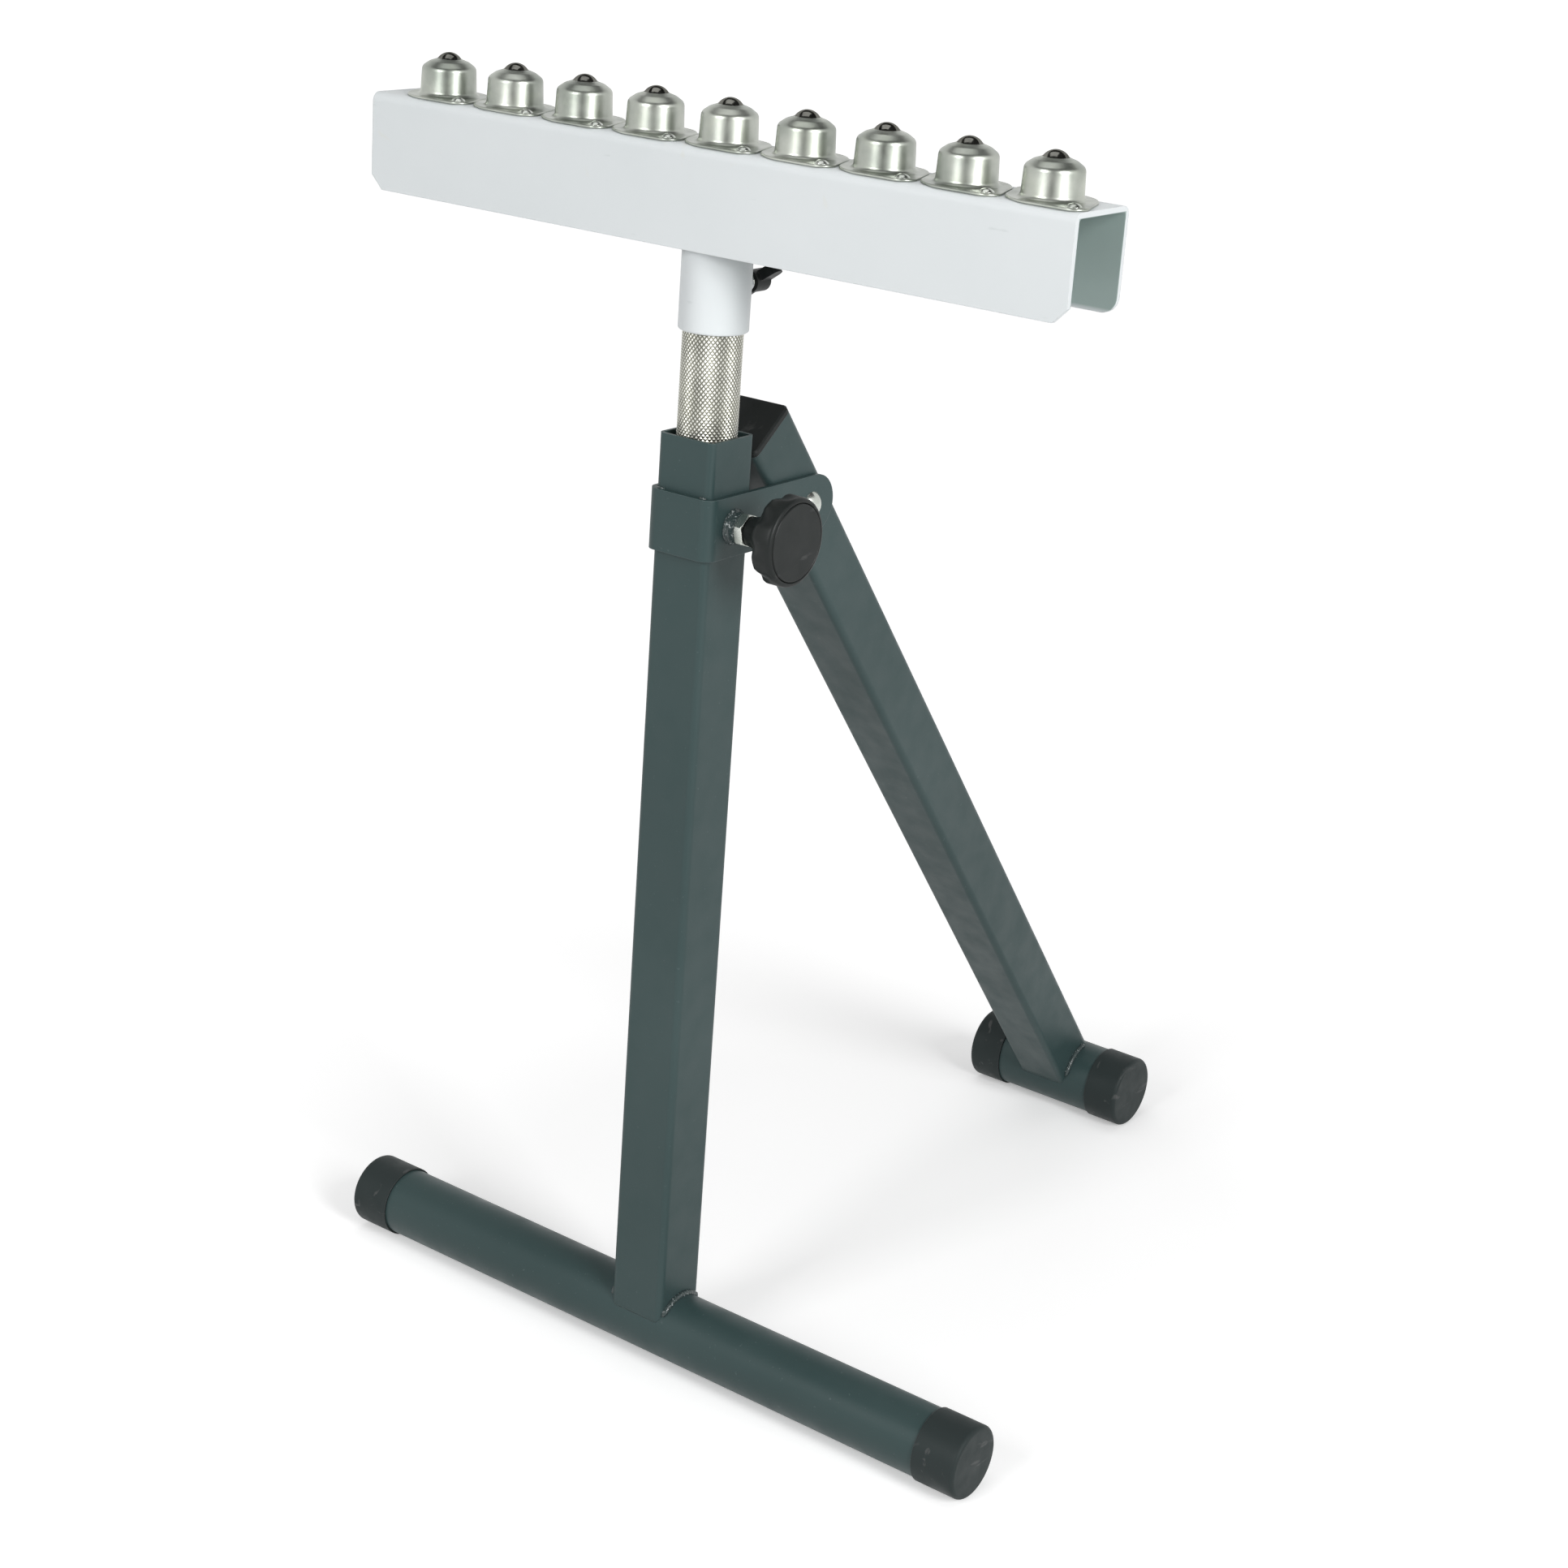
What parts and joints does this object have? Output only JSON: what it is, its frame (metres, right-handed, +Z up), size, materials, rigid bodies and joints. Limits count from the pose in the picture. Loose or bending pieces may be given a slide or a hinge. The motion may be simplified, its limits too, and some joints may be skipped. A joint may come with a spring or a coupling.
{
  "type": "roller stand",
  "caption": "Folding work support stand: square column with a folding rear leg on round tube feet, clamped sliding mast and a channel head carrying a row of ball transfer units.",
  "frame": {"origin": "on the floor under the middle of the whole stand's box", "axes": "+Z up along the column and mast, +X along the front foot and the head channel towards the clamp knob, +Y from the column towards the rear foot"},
  "size_m": [0.469, 0.5258, 0.7542],
  "materials": {
    "frame_paint": "satin",
    "head_paint": "satin",
    "black_plastic": "matte",
    "zinc": "zinc plated",
    "ball_steel": "polished"
  },
  "bodies": {
    "base": {"column_tube": "frame_paint", "front_foot_tube": "frame_paint", "front_cap_left": "black_plastic", "front_cap_right": "black_plastic", "pivot_collar": "frame_paint", "clamp_boss": "frame_paint", "base_welds": "frame_paint", "pivot_bolt": "zinc", "pivot_washer": "zinc", "pivot_nut": "zinc"},
    "rear_leg": {"rear_leg_tube": "frame_paint", "rear_leg_plug": "black_plastic", "rear_foot_tube": "frame_paint", "rear_cap_left": "black_plastic", "rear_cap_right": "black_plastic", "leg_welds": "frame_paint"},
    "clamp_screw": {"clamp_stud": "zinc"},
    "clamp_handle": {"clamp_lock_nut": "zinc", "clamp_knob": "black_plastic", "clamp_knob_disc": "black_plastic"},
    "mast": {"mast_tube": "zinc"},
    "head": {"socket_tube": "head_paint", "socket_weld_nut": "head_paint", "head_channel": "head_paint", "head_welds": "head_paint", "flange_rivets": "zinc", "bearing_balls": "ball_steel", "ball_shell_1": "zinc", "ball_shell_2": "zinc", "ball_shell_3": "zinc", "ball_shell_4": "zinc", "ball_shell_5": "zinc", "ball_shell_6": "zinc", "ball_shell_7": "zinc", "ball_shell_8": "zinc", "ball_shell_9": "zinc", "ball_cup_1": "ball_steel", "ball_cup_2": "ball_steel", "ball_cup_3": "ball_steel", "ball_cup_4": "ball_steel", "ball_cup_5": "ball_steel", "ball_cup_6": "ball_steel", "ball_cup_7": "ball_steel", "ball_cup_8": "ball_steel", "ball_cup_9": "ball_steel"},
    "wing_screw": {"wing_stud": "zinc"},
    "wing_handle": {"wing_grip": "black_plastic"},
    "ball_1": {"load_ball_1": "ball_steel"},
    "ball_2": {"load_ball_2": "ball_steel"},
    "ball_3": {"load_ball_3": "ball_steel"},
    "ball_4": {"load_ball_4": "ball_steel"},
    "ball_5": {"load_ball_5": "ball_steel"},
    "ball_6": {"load_ball_6": "ball_steel"},
    "ball_7": {"load_ball_7": "ball_steel"},
    "ball_8": {"load_ball_8": "ball_steel"},
    "ball_9": {"load_ball_9": "ball_steel"}
  },
  "joints": [
    {"name": "mast_slide", "type": "slide", "parent": "base", "child": "mast", "axis": [0, 0, 1], "range_m": [-0.056, 0.34]},
    {"name": "head_swivel", "type": "hinge", "parent": "mast", "child": "head", "pos_m": [0, -0.23792, 0.7], "axis": [0, 0, 1], "continuous": true},
    {"name": "leg_fold", "type": "hinge", "parent": "base", "child": "rear_leg", "pos_m": [0, -0.16542, 0.526], "axis": [-1, 0, 0], "range_deg": [0, 42]},
    {"name": "clamp_travel", "type": "slide", "parent": "base", "child": "clamp_screw", "axis": [1, 0, 0], "range_m": [0, 0.00305]},
    {"name": "clamp_turn", "type": "hinge", "parent": "clamp_screw", "child": "clamp_handle", "pos_m": [0.04, -0.23792, 0.526], "axis": [1, 0, 0], "range_deg": [0, 720]},
    {"name": "wing_travel", "type": "slide", "parent": "head", "child": "wing_screw", "axis": [0, 1, 0], "range_m": [0, 0.0026]},
    {"name": "wing_turn", "type": "hinge", "parent": "wing_screw", "child": "wing_handle", "pos_m": [0, -0.20292, 0.654], "axis": [0, 1, 0], "range_deg": [0, 720]},
    {"name": "load_ball_1_roll", "type": "hinge", "parent": "head", "child": "ball_1", "pos_m": [-0.1975, -0.23792, 0.74626], "axis": [1, 0, 0], "continuous": true},
    {"name": "load_ball_2_roll", "type": "hinge", "parent": "head", "child": "ball_2", "pos_m": [-0.1475, -0.23792, 0.74626], "axis": [1, 0, 0], "continuous": true},
    {"name": "load_ball_3_roll", "type": "hinge", "parent": "head", "child": "ball_3", "pos_m": [-0.0975, -0.23792, 0.74626], "axis": [1, 0, 0], "continuous": true},
    {"name": "load_ball_4_roll", "type": "hinge", "parent": "head", "child": "ball_4", "pos_m": [-0.0475, -0.23792, 0.74626], "axis": [1, 0, 0], "continuous": true},
    {"name": "load_ball_5_roll", "type": "hinge", "parent": "head", "child": "ball_5", "pos_m": [0.0025, -0.23792, 0.74626], "axis": [1, 0, 0], "continuous": true},
    {"name": "load_ball_6_roll", "type": "hinge", "parent": "head", "child": "ball_6", "pos_m": [0.0525, -0.23792, 0.74626], "axis": [1, 0, 0], "continuous": true},
    {"name": "load_ball_7_roll", "type": "hinge", "parent": "head", "child": "ball_7", "pos_m": [0.1025, -0.23792, 0.74626], "axis": [1, 0, 0], "continuous": true},
    {"name": "load_ball_8_roll", "type": "hinge", "parent": "head", "child": "ball_8", "pos_m": [0.1525, -0.23792, 0.74626], "axis": [1, 0, 0], "continuous": true},
    {"name": "load_ball_9_roll", "type": "hinge", "parent": "head", "child": "ball_9", "pos_m": [0.2025, -0.23792, 0.74626], "axis": [1, 0, 0], "continuous": true}
  ],
  "couplings": [
    {"joint": "clamp_travel", "follows": "clamp_turn", "m_per_rad": 0.00023873},
    {"joint": "wing_travel", "follows": "wing_turn", "m_per_rad": 0.00019894}
  ]
}
